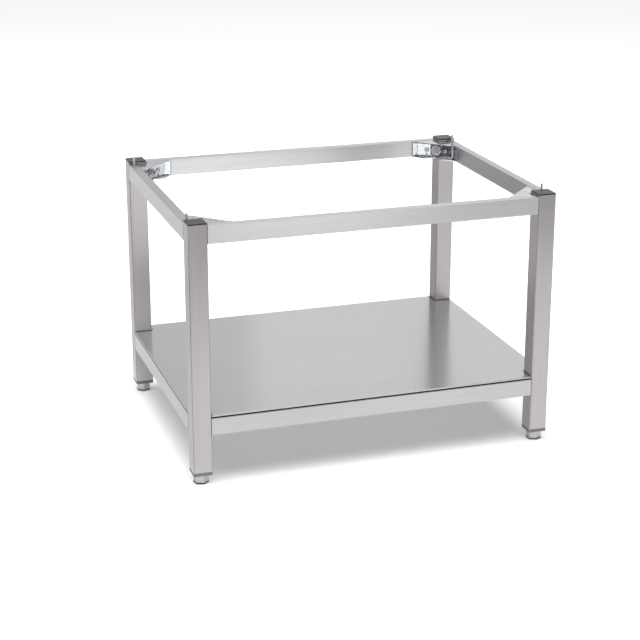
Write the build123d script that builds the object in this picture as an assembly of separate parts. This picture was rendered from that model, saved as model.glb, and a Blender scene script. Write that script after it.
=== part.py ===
"""Knock-down stand for a counter-top stove: square legs, two rail frames, a shelf and screw feet."""

import math
import os

from build123d import *

# Overall size in millimetres: X is the width, Y the depth with the front at -Y, Z is up from the floor
WIDTH = 800.0
DEPTH = 600.0
TOP_RAIL_TOP_Z = 557.0
LOWER_RAIL_TOP_Z = 146.5

# Clearances: pieces that are fixed together, and pieces that turn or slide in each other
FIT_GAP = 0.05
RUN_GAP = 0.05
THINNEST_INNER_R = 0.3

# Square leg tubes
LEG_SIZE = 40.0
LEG_WALL = 1.5
LEG_CORNER_R = 2.0
LEG_ABOVE_RAIL = 3.0

# Rail tubes of both frames, flush with the outer leg faces
RAIL_HEIGHT = 38.0
RAIL_DEPTH = 20.0
RAIL_WALL = 1.2
RAIL_CORNER_R = 2.0
RAIL_END_GAP = 0.2

# Leg caps
CAP_THICK = 3.0
CAP_EDGE = 0.8
CAP_PLUG_DEPTH = 8.0
CAP_PLUG_WALL = 3.0
PLUG_GAP = 0.1

# Locating pins in the side rails of the top frame
PIN_R = 2.5
PIN_RISE = 16.0
PIN_TIP = 1.0
PIN_FROM_LEG = 11.0
PIN_NECK_R = 2.0
PIN_HEAD_R = 4.5
PIN_HEAD = 2.0

# Shelf sheet with a hemmed edge, whose foot stands back from the edge and rests on the lower frame
SHEET = 1.2
HEM_THICK = 3.5
HEM_WIDTH = 12.0
HEM_EDGE_FLAT = 0.5
HEM_LIFT = 2.5
HEM_SETBACK = 5.0
SHELF_LEG_GAP = 0.6

# Stiffening channel under the shelf
STIFFENER_TOP_WIDTH = 100.0
STIFFENER_WEB_WIDTH = 60.0
STIFFENER_DEPTH = 24.0
STIFFENER_END_GAP = 0.2

# Pressed corner brackets
BRACKET_SHEET = 2.0
BRACKET_BEND_R = 12.0
BRACKET_TOP_INSET = 1.0
BRACKET_BOTTOM_INSET = 0.3
BRACKET_SPAN = 60.0
BRACKET_TAB = 14.0
BRACKET_STANDOFF = 13.5
BRACKET_FLAT_WIDTH = 30.0
BRACKET_LEG_GAP = 3.0
BRACKET_EAR_FROM_TAB = 21.0
BRACKET_EAR_DEPTH = 28.0
BRACKET_EAR_LIP = 2.0
WING_HOLE_R = 2.2
WING_HOLE_DROP = 10.5
WING_SCREW_SHARE = 0.7

# Corner studs that pull each leg into its frame, with the wedge anchors inside the legs
STUD_R = 4.0
STUD_HOLE_GAP = 0.2
STUD_INSET = 0.7
STUD_PAST_NUT = 4.0
WASHER_R = 12.0
WASHER_THICK = 2.0
NUT_ACROSS_FLATS = 13.0
NUT_THICK = 6.5
NUT_CHAMFER = 0.7
ANCHOR_SIDE = 20.0
ANCHOR_RELIEF = 2.0
ANCHOR_HEIGHT = 18.0

# Wing screws and the wedge cleats between the wings and the rails
SCREW_R = 2.5
SCREW_HOLE_GAP = 0.1
SCREW_TIP_GAP = 1.0
SCREW_HEAD_R = 4.8
SCREW_HEAD = 3.4
SCREW_HEAD_CHAMFER = 1.5
SCREW_SOCKET_ACROSS_FLATS = 4.0
SCREW_SOCKET_DEPTH = 1.8
CLEAT_TAB_INSET = 3.0
CLEAT_FLAT_INSET = 4.0
CLEAT_HEIGHT = 24.0

# Screw feet: collar insert in the tube, hexagonal foot on a stem, floor pad
COLLAR_HEIGHT = 7.5
INSERT_PLUG_DEPTH = 34.0
STEM_R = 5.0
STEM_IN_LEG = 60.0
FOOT_HEIGHT = 17.5
FOOT_GAP = 0.3
FOOT_ACROSS_FLATS = 28.0
FOOT_CHAMFER = 0.6
FOOT_FLOOR = 1.2
PAD_ACROSS_FLATS = 29.0
PAD_HEIGHT = 2.5
PAD_EDGE = 0.6
PAD_TOP_GAP = 0.2
PAD_SPIGOT_R = 6.0
PAD_SPIGOT = 4.5
PAD_SPIGOT_HEADROOM = 0.5

# How far each hexagonal foot and its pad are turned when the foot is screwed home, in degrees
FOOT_TURN = {"front_left": 38.0, "front_right": 26.0, "rear_left": 36.0, "rear_right": 4.0}

# Sign of X and Y at each corner
CORNERS = {
    "front_left": (-1, -1),
    "front_right": (1, -1),
    "rear_left": (-1, 1),
    "rear_right": (1, 1),
}

# Heights that follow from the sizes above
FOOT_BOTTOM_Z = PAD_HEIGHT + PAD_TOP_GAP
FOOT_TOP_Z = FOOT_BOTTOM_Z + FOOT_HEIGHT
COLLAR_BOTTOM_Z = FOOT_TOP_Z + FOOT_GAP
LEG_BOTTOM_Z = COLLAR_BOTTOM_Z + COLLAR_HEIGHT
LEG_TOP_Z = TOP_RAIL_TOP_Z + LEG_ABOVE_RAIL
SHELF_TOP_Z = LOWER_RAIL_TOP_Z + HEM_LIFT + HEM_THICK
PAD_SOCKET = PAD_SPIGOT - PAD_TOP_GAP + PAD_SPIGOT_HEADROOM
STEM_BOTTOM_Z = FOOT_BOTTOM_Z + PAD_SOCKET + FOOT_FLOOR
BRACKET_HEIGHT = RAIL_HEIGHT - BRACKET_TOP_INSET - BRACKET_BOTTOM_INSET
STUD_DROP = BRACKET_TOP_INSET + BRACKET_HEIGHT / 2

# Leg tube inside
LEG_INNER = LEG_SIZE - 2 * LEG_WALL
LEG_INNER_R = max(LEG_CORNER_R - LEG_WALL, THINNEST_INNER_R)

# Places in a corner, measured from the frame's outer corner
LEG_AXIS = Pos(LEG_SIZE / 2, LEG_SIZE / 2)
PIN_AXIS = Pos(RAIL_DEPTH / 2, LEG_SIZE + PIN_FROM_LEG)

# Plan of a corner, drawn from the frame's outer corner with X and Y pointing inward
DIAGONAL = Vector(1, 1, 0).normalized()
ACROSS = Vector(1, -1, 0).normalized()
LEG_EDGE_DISTANCE = LEG_SIZE * math.sqrt(2)
FLAT_DISTANCE = LEG_EDGE_DISTANCE + BRACKET_STANDOFF
FLAT_FRONT = FLAT_DISTANCE + BRACKET_SHEET / 2
BRACKET_REACH = LEG_SIZE + BRACKET_SPAN
TAB_LINE = RAIL_DEPTH + BRACKET_SHEET / 2
TAB_END = Vector(BRACKET_REACH, TAB_LINE)
WING_FOOT = Vector(BRACKET_REACH - BRACKET_TAB, TAB_LINE)
FLAT_END = DIAGONAL * FLAT_DISTANCE + ACROSS * (BRACKET_FLAT_WIDTH / 2)
WING_RUN = (FLAT_END - WING_FOOT).normalized()
WING_FRONT = Vector(WING_RUN.Y, -WING_RUN.X)
WING_SCREW_X = WING_FOOT.X + (FLAT_END.X - WING_FOOT.X) * WING_SCREW_SHARE


def at_corner(shape, corner):
    """Move a shape drawn from the outer corner, inward along +X and +Y, to one corner of the stand."""
    sign_x, sign_y = CORNERS[corner]
    placed = (Pos(-WIDTH / 2, -DEPTH / 2) * shape).solid()
    if sign_x > 0:
        placed = placed.mirror(Plane.YZ)
    if sign_y > 0:
        placed = placed.mirror(Plane.XZ)
    return placed


def swap_sides(shape):
    """Mirror a corner shape across the corner's diagonal, from the X rail to the Y rail."""
    diagonal_plane = Plane(origin=(0, 0, 0), x_dir=DIAGONAL, z_dir=ACROSS)
    return shape.solid().mirror(diagonal_plane)


def swapped(point):
    """Plan point mirrored across the corner's diagonal."""
    return Vector(point.Y, point.X)


def prism(points, bottom, height):
    """Upright prism on a plan outline."""
    outline = make_face(Polyline(*points, close=True))
    return Pos(0, 0, bottom) * extrude(outline, height)


def square_rod(size, radius, bottom, height):
    """Upright square bar with rounded corners, centred on a leg."""
    return LEG_AXIS * Pos(0, 0, bottom) * extrude(RectangleRounded(size, size, radius), height)


def rod(radius, bottom, height):
    """Upright round bar standing on a given height."""
    return Pos(0, 0, bottom + height / 2) * Cylinder(radius, height)


def hexagon_rod(across_flats, bottom, height):
    """Upright hexagonal bar."""
    outline = RegularPolygon(across_flats / 2, 6, major_radius=False)
    return Pos(0, 0, bottom) * extrude(outline, height)


def wing_point(along_rail, in_front):
    """Plan point of the wing at a distance along the X rail, set off from its middle line."""
    start = WING_FOOT + WING_FRONT * in_front
    return start + WING_RUN * ((along_rail - start.X) / WING_RUN.X)


def stud_axis(stud_z, distance):
    """Placement on the corner's diagonal, facing the middle of the stand."""
    return Plane(origin=DIAGONAL * distance + Vector(0, 0, stud_z), z_dir=DIAGONAL).location


def screw_axis(screw_z, in_front):
    """Placement where a wing takes its screw, facing out of it."""
    point = wing_point(WING_SCREW_X, 0) + WING_FRONT * in_front
    return Plane(origin=(point.X, point.Y, screw_z), z_dir=WING_FRONT).location


def make_bracket(rail_top):
    """Pressed corner bracket: web with a middle flat, wings and tabs, top plate and two lower ears."""
    top = rail_top - BRACKET_TOP_INSET
    bottom = top - BRACKET_HEIGHT
    stud_z = rail_top - STUD_DROP
    wing_line = [WING_FOOT, FLAT_END, swapped(FLAT_END), swapped(WING_FOOT)]
    web_line = FilletPolyline(TAB_END, *wing_line, swapped(TAB_END), radius=BRACKET_BEND_R)
    web = Pos(0, 0, bottom) * extrude(trace(web_line, BRACKET_SHEET), BRACKET_HEIGHT)

    notch = LEG_SIZE + BRACKET_LEG_GAP
    plate_points = [
        (BRACKET_REACH, RAIL_DEPTH),
        (notch, RAIL_DEPTH),
        (notch, notch),
        (RAIL_DEPTH, notch),
        (RAIL_DEPTH, BRACKET_REACH),
    ]
    top_plate = prism(plate_points, top - BRACKET_SHEET, BRACKET_SHEET)

    ear_out = TAB_END + Vector(-BRACKET_EAR_FROM_TAB, BRACKET_EAR_DEPTH)
    ear_in = DIAGONAL * (FLAT_FRONT + BRACKET_EAR_LIP)
    free_edge = [TAB_END, ear_out, ear_in, swapped(ear_out), swapped(TAB_END)]
    lower_ears = prism([*free_edge, *reversed(wing_line)], bottom, BRACKET_SHEET)

    bracket = web + top_plate + lower_ears
    drill_depth = 4 * BRACKET_SHEET
    bracket -= stud_axis(stud_z, FLAT_DISTANCE) * Cylinder(STUD_R + STUD_HOLE_GAP, drill_depth)
    screw_hole = screw_axis(stud_z, 0) * Cylinder(SCREW_R + SCREW_HOLE_GAP, drill_depth)
    wing_hole = screw_axis(stud_z - WING_HOLE_DROP, 0) * Cylinder(WING_HOLE_R, drill_depth)
    for hole in (screw_hole, wing_hole):
        bracket -= hole
        bracket -= swap_sides(hole)
    return bracket


def make_stud(stud_z):
    """Corner stud from the anchor in the leg to past the nut."""
    start = anchor_back() + STUD_INSET
    end = FLAT_FRONT + WASHER_THICK + NUT_THICK + STUD_PAST_NUT
    return stud_axis(stud_z, start) * rod(STUD_R, 0, end - start)


def make_washer(stud_z):
    """Wide washer on the bracket's middle flat."""
    washer = rod(WASHER_R, 0, WASHER_THICK) - rod(STUD_R + STUD_HOLE_GAP, 0, WASHER_THICK)
    return stud_axis(stud_z, FLAT_FRONT) * washer


def make_nut(stud_z):
    """Hexagonal nut on the washer, its corners chamfered on both faces."""
    turned = rod(NUT_ACROSS_FLATS / math.sqrt(3), 0, NUT_THICK)
    turned = chamfer(turned.edges().filter_by(GeomType.CIRCLE), NUT_CHAMFER)
    nut = hexagon_rod(NUT_ACROSS_FLATS, 0, NUT_THICK) & turned
    nut -= rod(STUD_R + FIT_GAP, 0, NUT_THICK)
    return stud_axis(stud_z, FLAT_FRONT + WASHER_THICK) * nut


def anchor_back():
    """Distance along the diagonal to the back face of the leg anchor."""
    inside = LEG_SIZE - LEG_WALL
    return (2 * inside - ANCHOR_SIDE) / math.sqrt(2)


def make_anchor(stud_z):
    """Wedge block in the inner corner of the leg tube, bored for the stud."""
    inside = LEG_SIZE - LEG_WALL
    far = inside - ANCHOR_SIDE
    near = inside - ANCHOR_RELIEF
    points = [(inside, far), (inside, near), (near, inside), (far, inside)]
    anchor = prism(points, stud_z - ANCHOR_HEIGHT / 2, ANCHOR_HEIGHT)
    return anchor - stud_axis(stud_z, anchor_back()) * Cylinder(STUD_R + FIT_GAP, 2 * ANCHOR_SIDE)


def make_cleat(stud_z):
    """Wedge block on the rail's inner face that the wing is screwed to."""
    behind = -BRACKET_SHEET / 2
    tab_side = wing_point(WING_FOOT.X - CLEAT_TAB_INSET, behind)
    flat_side = wing_point(FLAT_END.X + CLEAT_FLAT_INSET, behind)
    points = [(tab_side.X, RAIL_DEPTH), tab_side, flat_side, (flat_side.X, RAIL_DEPTH)]
    cleat = prism(points, stud_z - CLEAT_HEIGHT / 2, CLEAT_HEIGHT)
    bore = 2 * screw_length()
    return cleat - screw_axis(stud_z, 0) * rod(SCREW_R + FIT_GAP, -bore, bore)


def screw_length():
    """Length under the head of a wing screw, which ends just short of the rail."""
    behind_wing = wing_point(WING_SCREW_X, 0) - WING_FRONT * (BRACKET_SHEET / 2)
    cleat_depth = (behind_wing.Y - RAIL_DEPTH) / WING_FRONT.Y
    slanted_tip = SCREW_R * WING_FRONT.X / WING_FRONT.Y
    return BRACKET_SHEET + cleat_depth - slanted_tip - SCREW_TIP_GAP


def make_screw(stud_z):
    """Low-headed socket screw through the wing into its cleat."""
    head = rod(SCREW_HEAD_R, 0, SCREW_HEAD)
    head = chamfer(head.edges().sort_by(Axis.Z)[-1], SCREW_HEAD_CHAMFER)
    head -= hexagon_rod(SCREW_SOCKET_ACROSS_FLATS, SCREW_HEAD - SCREW_SOCKET_DEPTH, SCREW_SOCKET_DEPTH)
    length = screw_length()
    return screw_axis(stud_z, BRACKET_SHEET / 2) * (head + rod(SCREW_R, -length, length))


def make_corner_fixings(rail_top):
    """Fixings of one corner, by kind."""
    stud_z = rail_top - STUD_DROP
    cleat = make_cleat(stud_z)
    screw = make_screw(stud_z)
    return {
        "corner_studs": [make_stud(stud_z)],
        "corner_washers": [make_washer(stud_z)],
        "corner_nuts": [make_nut(stud_z)],
        "leg_anchors": [make_anchor(stud_z)],
        "rail_cleats": [cleat, swap_sides(cleat)],
        "bracket_screws": [screw, swap_sides(screw)],
    }


def make_leg():
    """Square leg tube with the two stud holes through its inner corner."""
    height = LEG_TOP_Z - LEG_BOTTOM_Z
    leg = square_rod(LEG_SIZE, LEG_CORNER_R, LEG_BOTTOM_Z, height)
    leg -= square_rod(LEG_INNER, LEG_INNER_R, LEG_BOTTOM_Z, height)
    for rail_top in (TOP_RAIL_TOP_Z, LOWER_RAIL_TOP_Z):
        drill = Cylinder(STUD_R + STUD_HOLE_GAP, LEG_SIZE / 2)
        leg -= stud_axis(rail_top - STUD_DROP, LEG_EDGE_DISTANCE) * drill
    return leg


def make_plug(bottom, height):
    """Square plug that fits inside the leg tube."""
    return square_rod(LEG_INNER - 2 * PLUG_GAP, LEG_INNER_R, bottom, height)


def make_cap():
    """Square cap with a hollow plug down the tube."""
    head = square_rod(LEG_SIZE, LEG_CORNER_R, LEG_TOP_Z, CAP_THICK)
    head = chamfer(head.faces().sort_by(Axis.Z)[-1].edges(), CAP_EDGE)
    plug_bottom = LEG_TOP_Z - CAP_PLUG_DEPTH
    hollow_size = LEG_INNER - 2 * PLUG_GAP - 2 * CAP_PLUG_WALL
    hollow = square_rod(hollow_size, LEG_INNER_R, plug_bottom, CAP_PLUG_DEPTH)
    return head + (make_plug(plug_bottom, CAP_PLUG_DEPTH) - hollow)


def make_insert():
    """Foot insert: flush collar below the tube, plug inside it, bore for the stem."""
    collar = square_rod(LEG_SIZE, LEG_CORNER_R, COLLAR_BOTTOM_Z, COLLAR_HEIGHT)
    bore = rod(STEM_R + RUN_GAP, COLLAR_BOTTOM_Z, COLLAR_HEIGHT + INSERT_PLUG_DEPTH)
    return collar + make_plug(LEG_BOTTOM_Z, INSERT_PLUG_DEPTH) - LEG_AXIS * bore


def make_foot_stem():
    """Stem of a foot, from inside the hexagonal body up into the leg."""
    return LEG_AXIS * rod(STEM_R, STEM_BOTTOM_Z, COLLAR_BOTTOM_Z + STEM_IN_LEG - STEM_BOTTOM_Z)


def make_foot(turn):
    """Hexagonal foot body with the stem socket above and the pad socket below."""
    body = hexagon_rod(FOOT_ACROSS_FLATS, FOOT_BOTTOM_Z, FOOT_HEIGHT)
    body = chamfer(body.faces().sort_by(Axis.Z)[0].edges(), FOOT_CHAMFER)
    body -= rod(STEM_R + FIT_GAP, STEM_BOTTOM_Z, FOOT_TOP_Z - STEM_BOTTOM_Z)
    body -= rod(PAD_SPIGOT_R + RUN_GAP, FOOT_BOTTOM_Z, PAD_SOCKET)
    return LEG_AXIS * Rot(0, 0, turn) * body


def make_pad(turn):
    """Hexagonal floor pad with the spigot that the foot turns on."""
    plate = hexagon_rod(PAD_ACROSS_FLATS, 0, PAD_HEIGHT)
    plate = chamfer(plate.faces().sort_by(Axis.Z)[-1].edges(), PAD_EDGE)
    return LEG_AXIS * Rot(0, 0, turn) * (plate + rod(PAD_SPIGOT_R, PAD_HEIGHT, PAD_SPIGOT))


def make_rail(span, top):
    """Rail tube along X, centred, with its outer face on the plane Y = 0 and the inside at +Y."""
    inner_r = max(RAIL_CORNER_R - RAIL_WALL, THINNEST_INNER_R)
    section = RectangleRounded(RAIL_DEPTH, RAIL_HEIGHT, RAIL_CORNER_R)
    section -= RectangleRounded(RAIL_DEPTH - 2 * RAIL_WALL, RAIL_HEIGHT - 2 * RAIL_WALL, inner_r)
    length = span - 2 * LEG_SIZE - 2 * RAIL_END_GAP
    tube = extrude(Plane.YZ * section, length / 2, both=True)
    return Pos(0, RAIL_DEPTH / 2, top - RAIL_HEIGHT / 2) * tube


def make_frame(top):
    """Four rails of one frame, by side."""
    front = (Pos(0, -DEPTH / 2) * make_rail(WIDTH, top)).solid()
    left = (Pos(-WIDTH / 2, 0) * Rot(0, 0, -90) * make_rail(DEPTH, top)).solid()
    return {
        "front": front,
        "rear": front.mirror(Plane.XZ),
        "left": left,
        "right": left.mirror(Plane.YZ),
    }


def make_pin():
    """Locating pin that stands on a side rail, riveted through its top wall by a neck and a head."""
    under_wall = TOP_RAIL_TOP_Z - RAIL_WALL
    shank = rod(PIN_R, TOP_RAIL_TOP_Z, PIN_RISE)
    shank = chamfer(shank.edges().sort_by(Axis.Z)[-1], PIN_TIP)
    neck = rod(PIN_NECK_R, under_wall, RAIL_WALL)
    head = rod(PIN_HEAD_R, under_wall - PIN_HEAD, PIN_HEAD)
    return PIN_AXIS * (shank + neck + head)


def make_pin_hole():
    """Hole for a pin's neck through the top wall of a side rail."""
    return PIN_AXIS * rod(PIN_NECK_R + FIT_GAP, TOP_RAIL_TOP_Z - 2 * RAIL_WALL, 3 * RAIL_WALL)


def make_hem(length):
    """Hem along X with its round edge on the plane Y = 0: a bead over a gap, and a foot on the rail."""
    hem_round = (HEM_THICK - HEM_EDGE_FLAT) / 2
    bead = Box(length, HEM_WIDTH, HEM_THICK)
    bead = fillet(bead.faces().sort_by(Axis.Y)[0].edges().filter_by(Axis.X), hem_round)
    foot = Box(length, HEM_WIDTH - HEM_SETBACK, HEM_LIFT)
    bead_place = Pos(0, HEM_WIDTH / 2, SHELF_TOP_Z - HEM_THICK / 2)
    foot_place = Pos(0, (HEM_SETBACK + HEM_WIDTH) / 2, LOWER_RAIL_TOP_Z + HEM_LIFT / 2)
    return bead_place * bead + foot_place * foot


def make_shelf():
    """Shelf sheet with a hem along each open edge and a notch round each leg."""
    notch = LEG_SIZE + SHELF_LEG_GAP
    sheet = Pos(0, 0, SHELF_TOP_Z - SHEET / 2) * Box(WIDTH - HEM_WIDTH, DEPTH - HEM_WIDTH, SHEET)
    corner_cut = Pos(0, 0, SHELF_TOP_Z) * Box(2 * notch, 2 * notch, 2 * HEM_THICK)
    for sign_x, sign_y in CORNERS.values():
        sheet -= Pos(sign_x * WIDTH / 2, sign_y * DEPTH / 2) * corner_cut

    front_hem = Pos(0, -DEPTH / 2) * make_hem(WIDTH - 2 * notch)
    left_hem = Pos(-WIDTH / 2, 0) * Rot(0, 0, -90) * make_hem(DEPTH - 2 * notch)
    shelf = sheet + front_hem + mirror(front_hem, about=Plane.XZ)
    return shelf + left_hem + mirror(left_hem, about=Plane.YZ)


def make_stiffener():
    """Hat-shaped channel across the width, its flanges under the shelf sheet."""
    half_top = STIFFENER_TOP_WIDTH / 2
    half_web = STIFFENER_WEB_WIDTH / 2
    upper = SHELF_TOP_Z - SHEET - SHEET / 2
    lower = upper - STIFFENER_DEPTH + SHEET
    half_line = [(half_top, upper), (half_web, upper), (half_web, lower)]
    other_half = [(-across, height) for across, height in reversed(half_line)]
    length = WIDTH - 2 * RAIL_DEPTH - 2 * STIFFENER_END_GAP
    return extrude(Plane.YZ * trace(Polyline(*half_line, *other_half), SHEET), length / 2, both=True)


def build():
    """Every node of the stand, by name."""
    nodes = {}
    for corner in CORNERS:
        nodes["leg_" + corner] = at_corner(make_leg(), corner)
        nodes["leg_cap_" + corner] = at_corner(make_cap(), corner)
        nodes["foot_insert_" + corner] = at_corner(make_insert(), corner)
        nodes["foot_stem_" + corner] = at_corner(make_foot_stem(), corner)
        nodes["foot_body_" + corner] = at_corner(make_foot(FOOT_TURN[corner]), corner)
        nodes["foot_pad_" + corner] = at_corner(make_pad(FOOT_TURN[corner]), corner)
        nodes["locating_pin_" + corner] = at_corner(make_pin(), corner)

    for level, rail_top in (("top", TOP_RAIL_TOP_Z), ("lower", LOWER_RAIL_TOP_Z)):
        for side, rail in make_frame(rail_top).items():
            nodes[level + "_rail_" + side] = rail
        bracket = make_bracket(rail_top)
        for corner in CORNERS:
            nodes[level + "_bracket_" + corner] = at_corner(bracket, corner)
        for kind, pieces in make_corner_fixings(rail_top).items():
            placed = [at_corner(piece, corner) for corner in CORNERS for piece in pieces]
            nodes[level + "_" + kind] = Compound(children=placed)

    for corner in CORNERS:
        side = corner.split("_")[1]
        nodes["top_rail_" + side] -= at_corner(make_pin_hole(), corner)

    nodes["shelf_panel"] = make_shelf()
    nodes["shelf_stiffener"] = make_stiffener()
    return nodes


os.makedirs("parts", exist_ok=True)
for node_name, node_shape in build().items():
    export_step(node_shape, "parts/" + node_name + ".step")
    print(node_name, round(node_shape.volume), "mm3")
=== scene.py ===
# %% [markdown]
# # A knock-down stove stand in satin steel
#
# This lesson dresses a stand made of square tube: four legs, two frames of rails, a hemmed shelf, pressed
# corner brackets and screw feet. The shapes come ready made from the drawing office as one fixed frame.
# Blender adds what a drawing can't show: brushed steel, zinc plate, moulded plastic, cut threads, soft
# light and a camera.
#
# Everything is in metres. The front of the stand faces -Y, +Z is up and the floor is at zero.

# %% Load the frame
import math

import bpy
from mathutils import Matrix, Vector


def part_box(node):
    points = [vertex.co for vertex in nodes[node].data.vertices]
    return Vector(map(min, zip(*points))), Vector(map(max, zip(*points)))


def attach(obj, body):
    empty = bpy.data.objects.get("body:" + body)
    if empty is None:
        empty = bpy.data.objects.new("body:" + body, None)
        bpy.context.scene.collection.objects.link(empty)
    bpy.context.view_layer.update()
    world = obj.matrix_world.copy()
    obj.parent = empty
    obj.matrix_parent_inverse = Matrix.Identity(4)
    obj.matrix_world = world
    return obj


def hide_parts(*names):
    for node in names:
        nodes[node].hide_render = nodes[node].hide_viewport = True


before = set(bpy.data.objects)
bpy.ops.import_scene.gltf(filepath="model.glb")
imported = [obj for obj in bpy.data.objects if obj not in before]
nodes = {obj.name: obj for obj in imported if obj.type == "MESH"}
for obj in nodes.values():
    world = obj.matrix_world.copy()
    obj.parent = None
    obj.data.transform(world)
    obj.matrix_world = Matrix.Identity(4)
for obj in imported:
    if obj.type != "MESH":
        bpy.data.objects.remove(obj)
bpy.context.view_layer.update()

# %% [markdown]
# ## Camera
#
# The stand is seen from the front and a little from its left, from well above the top frame. A long lens
# from a few metres away keeps the rails nearly parallel. A camera could be aimed with a constraint, but
# two angles and a place are easier to read, and they stay put. A small shift of the lens centres the stand
# in the square picture.

# %% Camera
PICTURE_PIXELS = 640
FOCAL_PIXELS = 1643.6
SENSOR_WIDTH_MM = 36.0
CAMERA_PLACE = Vector((-1.125, -3.344, 1.435))
CAMERA_TURN = math.radians(-18.175)
CAMERA_PITCH = math.radians(17.824)
VIEW_SHIFT = -0.05

scene = bpy.context.scene
camera_data = bpy.data.cameras.new("stand_camera")
camera_data.sensor_width = SENSOR_WIDTH_MM
camera_data.lens = SENSOR_WIDTH_MM * FOCAL_PIXELS / PICTURE_PIXELS
camera_data.shift_y = VIEW_SHIFT
camera = bpy.data.objects.new("stand_camera", camera_data)
camera.location = CAMERA_PLACE
camera.rotation_euler = (math.radians(90) - CAMERA_PITCH, 0.0, CAMERA_TURN)
scene.collection.objects.link(camera)
scene.camera = camera
print("camera:", round(camera_data.lens, 1), "mm lens")

# %% [markdown]
# ## Material helpers
#
# Every finish below is a small graph of nodes round one Principled shader. A picture of steel could be
# wrapped round each piece instead, but it would blur close up and every piece would need unwrapping. A few
# helpers keep the graphs short: the first ones start a material, add a node, join two sockets and map one
# range of values to another.


# %% Helpers that start a material and join sockets
def start_material(name, colour, metallic, roughness):
    """New material with one Principled shader, its plain values set on the shader's own sockets."""
    material = bpy.data.materials.new(name)
    material.use_nodes = True
    shader = material.node_tree.nodes["Principled BSDF"]
    shader.inputs["Base Color"].default_value = (*colour, 1.0)
    shader.inputs["Metallic"].default_value = metallic
    shader.inputs["Roughness"].default_value = roughness
    return material, shader


def add_node(owner, kind, **settings):
    """New node in the graph of a material or of the room, with its settings."""
    node = owner.node_tree.nodes.new(kind)
    for key, value in settings.items():
        setattr(node, key, value)
    return node


def join(owner, output, target):
    """Link one socket to another."""
    owner.node_tree.links.new(output, target)


def remap(owner, value, old, new):
    """Map one range of values to another, and hold the ends."""
    step = add_node(owner, "ShaderNodeMapRange")
    step.inputs["From Min"].default_value = old[0]
    step.inputs["From Max"].default_value = old[1]
    step.inputs["To Min"].default_value = new[0]
    step.inputs["To Max"].default_value = new[1]
    join(owner, value, step.inputs["Value"])
    return step.outputs["Result"]


print("materials that came with the frame:", len(bpy.data.materials))

# %% [markdown]
# ### Patterns
#
# Grain, mottle and pebble are all noise, stretched in one direction or left even. Object coordinates are
# in metres here, because each node of the frame keeps its vertices in place, so a scale of 1000 gives
# marks about a millimetre wide. A noise seldom leaves the middle of its range, so that middle is what the
# colours and values are spread over.

# %% Helpers for patterns
MM_PER_METRE = 1000.0
NOISE_RANGE = (0.3, 0.7)
NOISE_DETAIL = 3.0


def stretched_noise(material, scale, detail=NOISE_DETAIL):
    """Noise whose scale differs along X, Y and Z, in steps per metre."""
    place = add_node(material, "ShaderNodeTexCoord")
    stretch = add_node(material, "ShaderNodeMapping")
    stretch.inputs["Scale"].default_value = scale
    noise = add_node(material, "ShaderNodeTexNoise")
    noise.inputs["Scale"].default_value = 1.0
    noise.inputs["Detail"].default_value = detail
    join(material, place.outputs["Object"], stretch.inputs["Vector"])
    join(material, stretch.outputs["Vector"], noise.inputs["Vector"])
    return noise.outputs["Fac"]


def even_noise(material, scale, detail=NOISE_DETAIL):
    """Noise with the same scale in every direction."""
    return stretched_noise(material, (scale, scale, scale), detail)


def tint(material, pattern, dark, light):
    """Blend between two colours by a pattern."""
    ramp = add_node(material, "ShaderNodeValToRGB")
    for element, position, colour in zip(ramp.color_ramp.elements, NOISE_RANGE, (dark, light)):
        element.position = position
        element.color = (*colour, 1.0)
    join(material, pattern, ramp.inputs["Fac"])
    return ramp.outputs["Color"]


def vary_roughness(material, shader, pattern, middle, swing):
    """Roughness that a pattern moves up and down by a swing."""
    rough = remap(material, pattern, NOISE_RANGE, (middle - swing, middle + swing))
    join(material, rough, shader.inputs["Roughness"])


def raise_bump(material, shader, height, depth):
    """Bump from a pattern, with its depth in metres."""
    bump = add_node(material, "ShaderNodeBump")
    bump.inputs["Strength"].default_value = 1.0
    bump.inputs["Distance"].default_value = depth
    join(material, height, bump.inputs["Height"])
    join(material, bump.outputs["Normal"], shader.inputs["Normal"])


print("patterns are spread over noise from", NOISE_RANGE[0], "to", NOISE_RANGE[1])

# %% [markdown]
# ### Painted shade in creases, on corners and along edges
#
# Shade falls where two pieces meet, in joints, creases and gaps, and here that shade is painted into the
# colour. The rounded corners of a tube get a painted dark reflection, in place of darker surroundings that
# they would mirror. The cut edge of a plated sheet is a little duller than its face, and painted shade
# along the edge adds to it. These places could be painted by hand. Three helpers find them instead: one
# looks for surfaces close by, one for faces that are turned between two axes, and one compares the true
# normal with a bevelled one, which differs only near a sharp edge.

# %% Helpers that darken a colour
# Painted shade: how strongly creases darken, and the ranges for the painted corner and edge shade.
CREASE_SHADE_POWER = 1.6
CREASE_SHADE_SAMPLES = 8
CORNER_SHADE_RANGE = (0.0, 0.5)
EDGE_SHADE_SAMPLES = 6
EDGE_SHADE_RANGE = (0.8, 1.0)


def dim(material, colour, share_left):
    """Colour times the share of it that is left."""
    shaded = add_node(material, "ShaderNodeVectorMath", operation="SCALE")
    join(material, colour, shaded.inputs["Vector"])
    join(material, share_left, shaded.inputs["Scale"])
    return shaded.outputs["Vector"]


def paint_crease_shade(material, colour, reach):
    """Painted shade: colour that darkens where other surfaces stand closer than a reach in metres."""
    crease_shade = add_node(material, "ShaderNodeAmbientOcclusion", samples=CREASE_SHADE_SAMPLES)
    crease_shade.inputs["Distance"].default_value = reach
    depth = add_node(material, "ShaderNodeMath", operation="POWER")
    depth.inputs[1].default_value = CREASE_SHADE_POWER
    join(material, crease_shade.outputs["AO"], depth.inputs[0])
    return dim(material, colour, depth.outputs["Value"])


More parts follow.
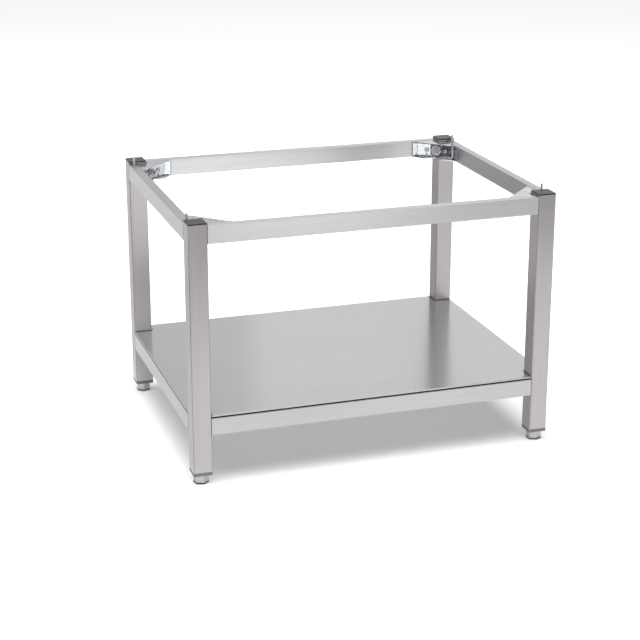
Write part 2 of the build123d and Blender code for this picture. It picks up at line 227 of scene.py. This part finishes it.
def paint_corner_shade(material, colour, axes, share):
    """Painted dark reflection: colour that loses a share of itself on rounded corners between two axes."""
    facing = add_node(material, "ShaderNodeNewGeometry")
    parts = add_node(material, "ShaderNodeSeparateXYZ")
    both = add_node(material, "ShaderNodeMath", operation="MULTIPLY")
    size = add_node(material, "ShaderNodeMath", operation="ABSOLUTE")
    join(material, facing.outputs["Normal"], parts.inputs["Vector"])
    join(material, parts.outputs[axes[0]], both.inputs[0])
    join(material, parts.outputs[axes[1]], both.inputs[1])
    join(material, both.outputs["Value"], size.inputs[0])
    return dim(material, colour, remap(material, size.outputs["Value"], CORNER_SHADE_RANGE, (1.0, 1.0 - share)))


def dull_cut_edges_and_paint_shade(material, colour, reach, share):
    """Colour that loses up to a share of itself closer to a sharp edge than a reach in metres: a duller cut
    edge with painted shade along it.
    """
    rounded = add_node(material, "ShaderNodeBevel", samples=EDGE_SHADE_SAMPLES)
    rounded.inputs["Radius"].default_value = reach
    facing = add_node(material, "ShaderNodeNewGeometry")
    match = add_node(material, "ShaderNodeVectorMath", operation="DOT_PRODUCT")
    join(material, rounded.outputs["Normal"], match.inputs[0])
    join(material, facing.outputs["Normal"], match.inputs[1])
    return dim(material, colour, remap(material, match.outputs["Value"], EDGE_SHADE_RANGE, (1.0 - share, 1.0)))


print("creases darken with a power of", CREASE_SHADE_POWER)

# %% [markdown]
# ## Brushed steel
#
# The tubes and the shelf are satin stainless, brushed along their length by a belt. Long fine scratches
# blur a reflection across the grain and leave it sharper along the grain. Millions of modelled scratches
# could do that, but anisotropy does the same in the shader: a tangent that circles the grain's axis points
# across the scratches on every face of a tube. A stretched noise then adds scratches that can be seen
# close up, and a wider one adds the faint cloudy streaks of rolled sheet.

# %% Brushed steel finish
AXES = "XYZ"
METAL = 1.0
GRAIN_ACROSS = 2600.0
GRAIN_ALONG = 9.0
STREAK_ACROSS = 240.0
STREAK_ALONG = 3.0
STREAK_DETAIL = 2.0
SCRATCH_DEPTH = 0.000012
STEEL_SWING = 0.05


def along_axis(axis, along, across):
    """Scale with one value along the grain's axis and another across it."""
    return tuple(along if letter == axis else across for letter in AXES)


def brushed_steel(name, axis, dark, light, roughness, anisotropy, corner_shade_loss, crease_shade):
    """Satin steel with its grain along one axis."""
    material, shader = start_material(name, light, METAL, roughness)
    shader.inputs["Anisotropic"].default_value = anisotropy
    tangent = add_node(material, "ShaderNodeTangent", direction_type="RADIAL", axis=axis)
    join(material, tangent.outputs["Tangent"], shader.inputs["Tangent"])
    streaks = stretched_noise(material, along_axis(axis, STREAK_ALONG, STREAK_ACROSS), STREAK_DETAIL)
    clean = tint(material, streaks, dark, light)
    # Painted dark reflection on the rounded corners, then painted shade in the creases.
    corner_shaded = paint_corner_shade(material, clean, AXES.replace(axis, ""), corner_shade_loss)
    join(material, paint_crease_shade(material, corner_shaded, crease_shade), shader.inputs["Base Color"])
    scratches = stretched_noise(material, along_axis(axis, GRAIN_ALONG, GRAIN_ACROSS))
    vary_roughness(material, shader, scratches, roughness, STEEL_SWING)
    raise_bump(material, shader, scratches, SCRATCH_DEPTH)
    return material


def dress(material, node_names):
    """Put a material on nodes of the frame."""
    for node_name in node_names:
        slots = nodes[node_name].data.materials
        slots.clear()
        slots.append(material)
    print(material.name, "on", len(node_names), "nodes")


print("scratches:", round(MM_PER_METRE / GRAIN_ACROSS, 2), "by", round(MM_PER_METRE / GRAIN_ALONG), "mm")

# %% [markdown]
# ### Legs
#
# The legs are square tubes, brushed along their height, so they mirror a narrow band of the room at each
# height and spread it sideways. They could share the rails' steel, but in the photograph they are a little
# darker and warmer, so they get two tones of their own. Their rounded corners are darkest, with a painted
# dark reflection in place of darker surroundings that they would mirror.

# %% Legs
CORNERS = ("front_left", "front_right", "rear_left", "rear_right")
TUBE_ROUGHNESS = 0.34
TUBE_ANISOTROPY = 0.75

leg_steel = brushed_steel(
    "leg_steel",
    axis="Z",
    dark=(0.545, 0.52, 0.52),
    light=(0.585, 0.558, 0.558),
    roughness=TUBE_ROUGHNESS,
    anisotropy=TUBE_ANISOTROPY,
    corner_shade_loss=0.4,
    crease_shade=0.003,
)
dress(leg_steel, ["leg_" + corner for corner in CORNERS])

# %% [markdown]
# ### Rails
#
# The rails are rectangular tubes. The front and rear ones are brushed along X and the side ones along Y,
# so their reflections spread up and down and catch the pale floor and the light overhead. One material
# could choose its grain by the way a face is turned, but two are easier to follow. The front and rear
# rails are the lighter ones.

# %% Rails
LEVELS = ("top", "lower")
# The rails get a little painted dark reflection on their corners and painted shade in their creases.
RAIL_CORNER_SHADE_LOSS = 0.12
RAIL_CREASE_SHADE = 0.006

rail_steel_x = brushed_steel(
    "rail_steel_lengthwise",
    axis="X",
    dark=(0.64, 0.635, 0.64),
    light=(0.69, 0.685, 0.69),
    roughness=TUBE_ROUGHNESS,
    anisotropy=TUBE_ANISOTROPY,
    corner_shade_loss=RAIL_CORNER_SHADE_LOSS,
    crease_shade=RAIL_CREASE_SHADE,
)
dress(rail_steel_x, [level + "_rail_" + side for level in LEVELS for side in ("front", "rear")])
rail_steel_y = brushed_steel(
    "rail_steel_crosswise",
    axis="Y",
    dark=(0.552, 0.547, 0.552),
    light=(0.59, 0.585, 0.59),
    roughness=TUBE_ROUGHNESS,
    anisotropy=TUBE_ANISOTROPY,
    corner_shade_loss=RAIL_CORNER_SHADE_LOSS,
    crease_shade=RAIL_CREASE_SHADE,
)
dress(rail_steel_y, [level + "_rail_" + side for level in LEVELS for side in ("left", "right")])

# %% [markdown]
# ### Shelf
#
# The shelf is a wide sheet with the same belt finish along X. A polished sheet would mirror the legs and a
# blasted one would hide them. A roughness between the two shows them blurred, as in the photograph. Its
# hem gets no painted dark reflection on its corners, only painted shade in its creases.

# %% Shelf and its stiffener
shelf_steel = brushed_steel(
    "shelf_steel",
    axis="X",
    dark=(0.61, 0.61, 0.62),
    light=(0.63, 0.63, 0.64),
    roughness=0.22,
    anisotropy=0.8,
    corner_shade_loss=0.0,
    crease_shade=0.008,
)
dress(shelf_steel, ["shelf_panel", "shelf_stiffener"])

# %% [markdown]
# ### Pins
#
# The slim locating pins are turned on a lathe, so their fine grooves run round them. Cut as real grooves
# they would need thousands of faces on a pin a few millimetres thick, so a noise that is squeezed along Z
# makes them as a bump.

# %% Locating pins
PIN_GROOVES = (40.0, 40.0, 4000.0)
PIN_GROOVE_DEPTH = 0.00002
PIN_DARK = (0.55, 0.55, 0.56)
PIN_LIGHT = (0.69, 0.69, 0.7)
PIN_ROUGHNESS = 0.3
PIN_SWING = 0.06

pin_steel, pin_shader = start_material("pin_steel", PIN_LIGHT, METAL, PIN_ROUGHNESS)
pin_rings = stretched_noise(pin_steel, PIN_GROOVES)
join(pin_steel, tint(pin_steel, pin_rings, PIN_DARK, PIN_LIGHT), pin_shader.inputs["Base Color"])
vary_roughness(pin_steel, pin_shader, pin_rings, PIN_ROUGHNESS, PIN_SWING)
raise_bump(pin_steel, pin_shader, pin_rings, PIN_GROOVE_DEPTH)
dress(pin_steel, ["locating_pin_" + corner for corner in CORNERS])

# %% [markdown]
# ## Zinc plate
#
# The brackets are pressed from steel and zinc plated, which gives a bright, slightly blue metal with a
# soft mottle. A metallic shader with a cool tint that drifts over a few millimetres gives that look. The
# cut edges of the sheet are a little duller than its face and get painted shade along them, and the creases
# round the fixings get painted shade too, which draws the bracket's outline as in the photograph. The
# fixings share the finish with a finer mottle, because they are small, and the hidden blocks have a duller
# one.

# %% Zinc finish
MOTTLE_DETAIL = 4.0
MOTTLE_DEPTH = 0.00006
ZINC_SWING = 0.07
# Painted shade in the creases of the zinc, and the share of colour lost on cut edges, partly duller metal
# and partly painted shade.
ZINC_CREASE_SHADE = 0.003
CUT_EDGE_AND_SHADE_LOSS = 0.65


def zinc_plate(name, dark, light, roughness, mottle, dark_edge_width):
    """Zinc plate with a soft mottle, in mottles per metre, dark edges of a width in metres that are partly
    duller cut metal and partly painted shade, and painted shade in creases.
    """
    material, shader = start_material(name, light, METAL, roughness)
    clouds = even_noise(material, mottle, MOTTLE_DETAIL)
    clean = tint(material, clouds, dark, light)
    # Painted shade along the cut edges, which are also a little duller, then painted shade in the creases.
    edge_shaded = dull_cut_edges_and_paint_shade(material, clean, dark_edge_width, CUT_EDGE_AND_SHADE_LOSS)
    join(material, paint_crease_shade(material, edge_shaded, ZINC_CREASE_SHADE), shader.inputs["Base Color"])
    vary_roughness(material, shader, clouds, roughness, ZINC_SWING)
    raise_bump(material, shader, clouds, MOTTLE_DEPTH)
    return material


# Cut edges keep this share of their colour, partly duller metal and partly painted shade.
print("zinc keeps", round(1.0 - CUT_EDGE_AND_SHADE_LOSS, 2), "of its colour on cut edges")

# %% Brackets
bracket_zinc = zinc_plate(
    "bracket_zinc",
    dark=(0.50, 0.53, 0.57),
    light=(0.80, 0.82, 0.84),
    roughness=0.14,
    mottle=130.0,
    dark_edge_width=0.0013,
)
dress(bracket_zinc, [level + "_bracket_" + corner for level in LEVELS for corner in CORNERS])

# %% Washers, nuts, screws and hidden blocks
FIXINGS = ("corner_washers", "corner_nuts", "bracket_screws")
BLOCKS = ("leg_anchors", "rail_cleats")

fixing_zinc = zinc_plate(
    "fixing_zinc",
    dark=(0.62, 0.63, 0.65),
    light=(0.90, 0.90, 0.91),
    roughness=0.3,
    mottle=420.0,
    dark_edge_width=0.0004,
)
dress(fixing_zinc, [level + "_" + kind for level in LEVELS for kind in FIXINGS])
block_zinc = zinc_plate(
    "block_zinc",
    dark=(0.42, 0.44, 0.46),
    light=(0.56, 0.58, 0.60),
    roughness=0.45,
    mottle=220.0,
    dark_edge_width=0.0008,
)
dress(block_zinc, [level + "_" + kind for level in LEVELS for kind in BLOCKS])

# %% [markdown]
# ## Moulded plastic
#
# The caps, the collars and the pads are dark plastic with the fine pebble of a spark-eroded mould. The
# pebble is far too small to model, so a fine noise makes it as a bump, and the same noise opens and closes
# the gloss a little.

# %% Plastic finish
NO_METAL = 0.0
PEBBLE_SCALE = 1500.0
PEBBLE_DETAIL = 2.0
PLASTIC_SWING = 0.08


def moulded_plastic(name, dark, light, roughness, pebble_depth):
    """Dark plastic with a fine moulded pebble."""
    material, shader = start_material(name, light, NO_METAL, roughness)
    pebble = even_noise(material, PEBBLE_SCALE, PEBBLE_DETAIL)
    join(material, tint(material, pebble, dark, light), shader.inputs["Base Color"])
    vary_roughness(material, shader, pebble, roughness, PLASTIC_SWING)
    raise_bump(material, shader, pebble, pebble_depth)
    return material


print("pebble:", round(MM_PER_METRE / PEBBLE_SCALE, 2), "mm")

# %% Caps, collars and pads
cap_plastic = moulded_plastic(
    "cap_plastic",
    dark=(0.006, 0.006, 0.006),
    light=(0.014, 0.014, 0.014),
    roughness=0.36,
    pebble_depth=0.00008,
)
dress(cap_plastic, ["leg_cap_" + corner for corner in CORNERS])
collar_plastic = moulded_plastic(
    "collar_plastic",
    dark=(0.15, 0.15, 0.154),
    light=(0.20, 0.20, 0.205),
    roughness=0.5,
    pebble_depth=0.00008,
)
dress(collar_plastic, ["foot_insert_" + corner for corner in CORNERS])
pad_plastic = moulded_plastic(
    "pad_plastic",
    dark=(0.06, 0.06, 0.06),
    light=(0.09, 0.09, 0.09),
    roughness=0.6,
    pebble_depth=0.0001,
)
dress(pad_plastic, ["foot_pad_" + corner for corner in CORNERS])

# %% [markdown]
# ## Feet
#
# The hexagonal feet are light satin metal, tumbled rather than brushed, so they have a fine grain with no
# direction. The brushed steel above would draw lines on them, so an even noise is used, and no anisotropy.

# %% Feet
FOOT_GRAIN = 380.0
FOOT_GRAIN_DEPTH = 0.00003
FOOT_DARK = (0.36, 0.36, 0.36)
FOOT_LIGHT = (0.6, 0.6, 0.6)
FOOT_ROUGHNESS = 0.4
FOOT_SWING = 0.07

foot_steel, foot_shader = start_material("foot_steel", FOOT_LIGHT, METAL, FOOT_ROUGHNESS)
foot_grain = even_noise(foot_steel, FOOT_GRAIN)
join(foot_steel, tint(foot_steel, foot_grain, FOOT_DARK, FOOT_LIGHT), foot_shader.inputs["Base Color"])
vary_roughness(foot_steel, foot_shader, foot_grain, FOOT_ROUGHNESS, FOOT_SWING)
raise_bump(foot_steel, foot_shader, foot_grain, FOOT_GRAIN_DEPTH)
dress(foot_steel, ["foot_body_" + corner for corner in CORNERS])

# %% [markdown]
# ## Threads
#
# The drawing has plain rods for the studs and the stems of the feet, because a modelled thread would make
# the solid heavy. Here the thread shows: on the stud ends in front of each nut, and on a stem when its
# foot is screwed out. A thread is a rod whose radius rises and falls with height and with the angle round
# it. One function makes rings of points like that, each turned a little further than the one below, which
# gives the helix. Another joins the rings with faces.

# %% Thread maker
THREAD_SIDES = 24
ROWS_PER_PITCH = 6
FEWEST_ROWS = 2
THREAD_DEPTH_PER_PITCH = 0.54


def thread_rows(radius, pitch, length):
    """Rings of points round the Z axis, from zero to the length, with a triangular thread cut into them."""
    depth = pitch * THREAD_DEPTH_PER_PITCH
    row_count = max(FEWEST_ROWS, round(length / pitch * ROWS_PER_PITCH))
    rows = []
    for row in range(row_count + 1):
        height = length * row / row_count
        ring = []
        for side in range(THREAD_SIDES):
            phase = (height / pitch - side / THREAD_SIDES) % 1.0
            groove = abs(2.0 * phase - 1.0)
            reach = radius - depth * groove
            angle = math.tau * side / THREAD_SIDES
            ring.append(Vector((reach * math.cos(angle), reach * math.sin(angle), height)))
        rows.append(ring)
    return rows


def skin_rows(rows, first):
    """Faces that join rings of points, with both ends closed, counted from a first vertex."""
    faces = []
    for row in range(len(rows) - 1):
        for side in range(THREAD_SIDES):
            after = (side + 1) % THREAD_SIDES
            low = first + row * THREAD_SIDES
            high = low + THREAD_SIDES
            faces.append((low + side, low + after, high + after, high + side))
    last = first + (len(rows) - 1) * THREAD_SIDES
    faces.append(tuple(first + side for side in reversed(range(THREAD_SIDES))))
    faces.append(tuple(last + side for side in range(THREAD_SIDES)))
    return faces


def threaded_rods(name, rods, radius, pitch):
    """One mesh of threaded rods, each given by its two ends."""
    points = []
    faces = []
    for start, end in rods:
        run = end - start
        rows = thread_rows(radius, pitch, run.length)
        faces.extend(skin_rows(rows, len(points)))
        turn = run.to_track_quat("Z", "Y")
        points.extend(start + turn @ point for ring in rows for point in ring)
    mesh = bpy.data.meshes.new(name)
    mesh.from_pydata(points, [], faces)
    mesh.update()
    rod = bpy.data.objects.new(name, mesh)
    scene.collection.objects.link(rod)
    return rod


print("threads:", THREAD_SIDES, "sides,", ROWS_PER_PITCH, "rows to a turn")

# %% Thread finish
thread_zinc = zinc_plate(
    "thread_zinc",
    dark=(0.46, 0.47, 0.49),
    light=(0.62, 0.63, 0.65),
    roughness=0.32,
    mottle=500.0,
    dark_edge_width=0.0002,
)
print("thread finish:", thread_zinc.name)

# %% [markdown]
# ### Stems of the feet
#
# A stem stands upright in its leg, so its node's box gives its radius and both ends. It rides on the foot,
# because foot and stem turn as one.

# %% Stems of the feet
STEM_PITCH = 0.0015

for corner in CORNERS:
    low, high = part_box("foot_stem_" + corner)
    middle = (low + high) / 2
    foot_end = Vector((middle.x, middle.y, low.z))
    leg_end = Vector((middle.x, middle.y, high.z))
    stem = threaded_rods("stem_thread_" + corner, [(foot_end, leg_end)], (high.x - low.x) / 2, STEM_PITCH)
    stem.data.materials.append(thread_zinc)
    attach(stem, "foot_" + corner)
    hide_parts("foot_stem_" + corner)
    print(stem.name, "length", round(high.z - low.z, 4))

# %% [markdown]
# ### Corner studs
#
# The studs lie along the corner diagonals, four to a level in one node. Each stud's box corner towards the
# middle of the stand and the one towards the leg lie a little outside its round ends, because the rod is
# slanted: the ends are set back by the rod's radius over the square root of two.

# %% Corner studs
STUD_PITCH = 0.00125

for level in LEVELS:
    low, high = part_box(level + "_corner_studs")
    radius = (high.z - low.z) / 2
    set_back = radius / math.sqrt(2.0)
    stud_z = (low.z + high.z) / 2
    stud_points = [point.co for point in nodes[level + "_corner_studs"].data.vertices]
    inner_x = min(abs(point.x) for point in stud_points) + set_back
    inner_y = min(abs(point.y) for point in stud_points) + set_back
    rods = []
    for side_x in (-1, 1):
        for side_y in (-1, 1):
            outer = Vector((side_x * (high.x - set_back), side_y * (high.y - set_back), stud_z))
            inner = Vector((side_x * inner_x, side_y * inner_y, stud_z))
            rods.append((outer, inner))
    studs = threaded_rods(level + "_stud_threads", rods, radius, STUD_PITCH)
    studs.data.materials.append(thread_zinc)
    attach(studs, "stand")
    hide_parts(level + "_corner_studs")
    print(studs.name, "length", round((rods[0][1] - rods[0][0]).length, 4))

# %% [markdown]
# ## Floor
#
# The stand was photographed on white paper that is lit from all round, so its shadow is soft and pale.
# More lamps could fill the shadow. A wide plane with a little light of its own is simpler, and like lit
# paper it keeps the shadow from going black. The glow grows with the distance from the stand, so that the
# paper ends in white.

# %% Floor
FLOOR_HALF = 20.0
PAPER_GREY = (0.62, 0.62, 0.62)
PAPER_ROUGHNESS = 0.9
WHITE = (1.0, 1.0, 1.0, 1.0)
GLOW_DISTANCE = (0.8, 3.0)
GLOW_STRENGTH = (0.3, 0.8)


def quad(name, corners):
    """Flat sheet with four corners."""
    mesh = bpy.data.meshes.new(name)
    mesh.from_pydata(corners, [], [(0, 1, 2, 3)])
    sheet = bpy.data.objects.new(name, mesh)
    scene.collection.objects.link(sheet)
    return sheet


floor_signs = ((-1, -1), (1, -1), (1, 1), (-1, 1))
floor_corners = [(FLOOR_HALF * sign_x, FLOOR_HALF * sign_y, 0.0) for sign_x, sign_y in floor_signs]
floor = quad("pale_floor", floor_corners)
paper, paper_shader = start_material("pale_paper", PAPER_GREY, NO_METAL, PAPER_ROUGHNESS)
paper_shader.inputs["Specular IOR Level"].default_value = 0.0
paper_shader.inputs["Emission Color"].default_value = WHITE
paper_place = add_node(paper, "ShaderNodeTexCoord")
paper_distance = add_node(paper, "ShaderNodeVectorMath", operation="LENGTH")
join(paper, paper_place.outputs["Object"], paper_distance.inputs[0])
paper_glow = remap(paper, paper_distance.outputs["Value"], GLOW_DISTANCE, GLOW_STRENGTH)
join(paper, paper_glow, paper_shader.inputs["Emission Strength"])
floor.data.materials.append(paper)
print("floor:", 2 * FLOOR_HALF, "m square")

# %% [markdown]
# ## Light
#
# A pale room surrounds the stand, lighter behind it than in front. Reflections see it at full strength.
# Dull surfaces get only a tenth of it, because the full light of the room would wash out the shadow on the
# floor.

# %% Room light
ROOM_FRONT = (0.6, 0.6, 0.6, 1.0)
ROOM_BACK = (0.88, 0.88, 0.88, 1.0)
ROOM_BACK_START = 0.8
ROOM_STRENGTH = (1.0, 0.1)

room = bpy.data.worlds.new("pale_room")
scene.world = room
room.use_nodes = True
background = room.node_tree.nodes["Background"]
ray_kind = add_node(room, "ShaderNodeLightPath")
room_strength = remap(room, ray_kind.outputs["Is Diffuse Ray"], (0.0, 1.0), ROOM_STRENGTH)
join(room, room_strength, background.inputs["Strength"])
direction = add_node(room, "ShaderNodeTexCoord")
split = add_node(room, "ShaderNodeSeparateXYZ")
join(room, direction.outputs["Generated"], split.inputs["Vector"])
depth_ramp = add_node(room, "ShaderNodeValToRGB")
depth_ramp.color_ramp.elements[0].position = 0.0
depth_ramp.color_ramp.elements[0].color = ROOM_FRONT
depth_ramp.color_ramp.elements[1].position = ROOM_BACK_START
depth_ramp.color_ramp.elements[1].color = ROOM_BACK
join(room, remap(room, split.outputs["Y"], (-1.0, 1.0), (0.0, 1.0)), depth_ramp.inputs["Fac"])
join(room, depth_ramp.outputs["Color"], background.inputs["Color"])
print("room: grey", ROOM_FRONT[0], "in front and", ROOM_BACK[0], "behind")

# %% [markdown]
# One large softbox hangs overhead, a little to the front and to the left. It lights the paper and draws
# the soft shadow. A sun would draw a hard one. The metal doesn't mirror the box, because the cards below
# shape what it mirrors.

# %% Overhead softbox
STAND_MIDDLE = Vector((0.0, 0.0, 0.3))
SOFTBOX_PLACE = Vector((-0.225, -0.3, 3.2))
SOFTBOX_WIDTH = 3.4
SOFTBOX_LENGTH = 3.2
SOFTBOX_WATTS = 290.0

softbox_light = bpy.data.lights.new("overhead_softbox", "AREA")
softbox_light.shape = "RECTANGLE"
softbox_light.size = SOFTBOX_WIDTH
softbox_light.size_y = SOFTBOX_LENGTH
softbox_light.energy = SOFTBOX_WATTS
softbox = bpy.data.objects.new("overhead_softbox", softbox_light)
softbox.location = SOFTBOX_PLACE
softbox.rotation_euler = (STAND_MIDDLE - SOFTBOX_PLACE).to_track_quat("-Z", "Y").to_euler()
softbox.visible_camera = False
softbox.visible_glossy = False
scene.collection.objects.link(softbox)
print(softbox.name, SOFTBOX_WATTS, "W")

# %% [markdown]
# ## Cards
#
# Bare metal shows its room more than its own colour. Photographers set dark and light cards round it, so
# that some faces turn darker than others and the shape can be read. These cards do the same. Only mirrored
# light meets them, so they cast no shadow and the floor stays white. Each card glows by itself, evenly or
# with a grey that fades along one axis. It shows on one side only, the side from which its corners run
# anticlockwise, so that a card meant for the front of the stand doesn't show in the shelf from behind.

# %% Card maker
CARD_COLOUR = (0.0, 0.0, 0.0)
CARD_ROUGHNESS = 1.0


def grey_card(name, corners, axis, fade_range, greys):
    """Card with four corners that shows only in reflections, with a grey that changes along one axis."""
    card = quad(name, corners)
    card.visible_camera = False
    card.visible_diffuse = False
    card.visible_shadow = False
    material, shader = start_material(name, CARD_COLOUR, NO_METAL, CARD_ROUGHNESS)
    shader.inputs["Specular IOR Level"].default_value = 0.0
    shader.inputs["Emission Color"].default_value = WHITE
    place = add_node(material, "ShaderNodeTexCoord")
    parts = add_node(material, "ShaderNodeSeparateXYZ")
    join(material, place.outputs["Object"], parts.inputs["Vector"])
    fade = remap(material, parts.outputs[axis], fade_range, greys)
    join(material, fade, shader.inputs["Emission Strength"])
    side = add_node(material, "ShaderNodeNewGeometry")
    clear = add_node(material, "ShaderNodeBsdfTransparent")
    one_sided = add_node(material, "ShaderNodeMixShader")
    join(material, side.outputs["Backfacing"], one_sided.inputs["Fac"])
    join(material, shader.outputs["BSDF"], one_sided.inputs[1])
    join(material, clear.outputs["BSDF"], one_sided.inputs[2])
    surface = material.node_tree.nodes["Material Output"].inputs["Surface"]
    join(material, one_sided.outputs["Shader"], surface)
    card.data.materials.append(material)
    print(name, "from", greys[0], "to", greys[1])


def even_card(name, corners, grey):
    """Card with one grey all over."""
    grey_card(name, corners, "Y", (0.0, 1.0), (grey, grey))


def level_corners(plan, height):
    """Corners of a level card from its corners in plan. It faces up where these run anticlockwise."""
    return [(x, y, height) for x, y in plan]


def upright_corners(start, end, low, high):
    """Corners of an upright card. Seen in plan, it faces right of the way from start to end."""
    return [(*start, low), (*end, low), (*end, high), (*start, high)]


print("card makers:", grey_card.__name__, "and", even_card.__name__)

# %% [markdown]
# ### Cards in front
#
# The paper in front of the stand turns dark with distance, so the front legs grow darker towards their
# tops. A light patch lies on it for the faces further back. Beyond it a bright strip rises slowly away
# from the stand. The rails spread their reflections up and down, so the strip lights the left half of the
# front rail. The legs spread theirs sideways and miss it.

# %% Cards in front
CARD_LIFT = 0.001
UPPER_CARD_LIFT = 0.002

FRONT_PLAN = [(-0.9, -6.0), (6.0, -6.0), (6.0, -0.33), (-0.9, -0.33)]
FRONT_FADE = (-1.0, -2.2)
FRONT_GREYS = (1.0, 0.2)
grey_card("front_card", level_corners(FRONT_PLAN, CARD_LIFT), "Y", FRONT_FADE, FRONT_GREYS)
PATCH_PLAN = [(0.05, -1.75), (1.4, -1.75), (1.4, -1.15), (0.05, -1.15)]
PATCH_GREY = 1.0
even_card("patch_card", level_corners(PATCH_PLAN, UPPER_CARD_LIFT), PATCH_GREY)
STRIP_CORNERS = [(0.0, -2.2, 0.26), (0.8, -6.2, 0.68), (2.2, -6.2, 0.68), (0.75, -2.2, 0.26)]
STRIP_GREY = 3.4
even_card("strip_card", STRIP_CORNERS, STRIP_GREY)

# %% [markdown]
# ### Cards at the sides and behind
#
# A pale card on the left and a dark one further out shade the left faces, and a white one lies on the
# right. A dark card stands behind the left side. The left faces of the right legs and the inner face of
# the right rail mirror it, which sets them off from the front faces. Its near end fades to light, so that
# it has no hard edge in the shelf. A grey card on the paper behind and a higher one further back give the
# shelf and the inner faces their middle grey.

# %% Cards at the sides and behind
LEFT_PLAN = [(-6.0, -0.3), (-0.42, -0.3), (-0.58, 6.0), (-6.0, 6.0)]
LEFT_GREY = 0.88
even_card("left_card", level_corners(LEFT_PLAN, CARD_LIFT), LEFT_GREY)
FAR_PLAN = [(-6.0, -1.1), (-1.0, -1.1), (-1.3, 0.5), (-6.0, 0.5)]
FAR_GREY = 0.08
even_card("far_card", level_corners(FAR_PLAN, UPPER_CARD_LIFT), FAR_GREY)
RIGHT_PLAN = [(0.43, -0.33), (6.0, -0.33), (6.0, 6.0), (0.43, 6.0)]
RIGHT_GREY = 1.0
even_card("right_card", level_corners(RIGHT_PLAN, CARD_LIFT), RIGHT_GREY)

SIDE_NEAR_END = (-0.36, 0.6)
SIDE_BEND = (-0.385, 0.9)
SIDE_FAR_END = (-0.56, 3.0)
SIDE_TOP = 1.3
SIDE_DARK = 0.25
SIDE_FADE = (1.3, 2.3)
SIDE_FAR_GREY = 0.58
SIDE_NEAR_GREY = 0.8
side_corners = upright_corners(SIDE_BEND, SIDE_FAR_END, 0.0, SIDE_TOP)
grey_card("side_card", side_corners, "Y", SIDE_FADE, (SIDE_DARK, SIDE_FAR_GREY))
side_near_corners = upright_corners(SIDE_NEAR_END, SIDE_BEND, 0.0, SIDE_TOP)
side_near_fade = (SIDE_NEAR_END[1], SIDE_BEND[1])
grey_card("side_near_card", side_near_corners, "Y", side_near_fade, (SIDE_NEAR_GREY, SIDE_DARK))

REAR_PLAN = [(-0.38, 0.45), (0.45, 0.45), (0.45, 2.4), (-0.5, 2.4)]
REAR_GREY = 0.5
even_card("rear_card", level_corners(REAR_PLAN, CARD_LIFT), REAR_GREY)
BACK_ENDS = ((-3.0, 3.0), (0.66, 3.0))
BACK_LOW = 0.9
BACK_HIGH = 3.0
BACK_GREY = 0.66
even_card("back_card", upright_corners(*BACK_ENDS, BACK_LOW, BACK_HIGH), BACK_GREY)

# %% [markdown]
# ### Cards inside the frame and overhead
#
# Two small light cards stand inside the frame, where a photographer would hold a scrap of white card: one
# lights the inner face of the rear rail, and one lights a tab of the rear right bracket. A wide bright one
# overhead lights the tops of the rails and the bracket plates.

# %% Cards inside the frame and overhead
INNER_ENDS = ((0.28, -0.25), (-0.245, -0.25))
INNER_LOW = 0.28
INNER_HIGH = 0.46
INNER_FADE = (-0.1, 0.28)
INNER_GREYS = (1.6, 1.2)
grey_card("inner_card", upright_corners(*INNER_ENDS, INNER_LOW, INNER_HIGH), "X", INNER_FADE, INNER_GREYS)
TAB_ENDS = ((0.43, 0.0), (0.36, 0.0))
TAB_LOW = 0.43
TAB_HIGH = 0.51
TAB_GREY = 1.3
even_card("tab_card", upright_corners(*TAB_ENDS, TAB_LOW, TAB_HIGH), TAB_GREY)
TOP_PLAN = [(-1.5, 0.2), (1.5, 0.2), (1.5, -1.6), (-1.5, -1.6)]
TOP_HEIGHT = 3.0
TOP_GREY = 1.8
even_card("top_card", level_corners(TOP_PLAN, TOP_HEIGHT), TOP_GREY)

# %% [markdown]
# ## Tone
#
# A film-like view transform would soften the white paper to grey. The plain one shows it as white and
# keeps the greys of the steel as they are.

# %% Tone
scene.view_settings.view_transform = "Standard"
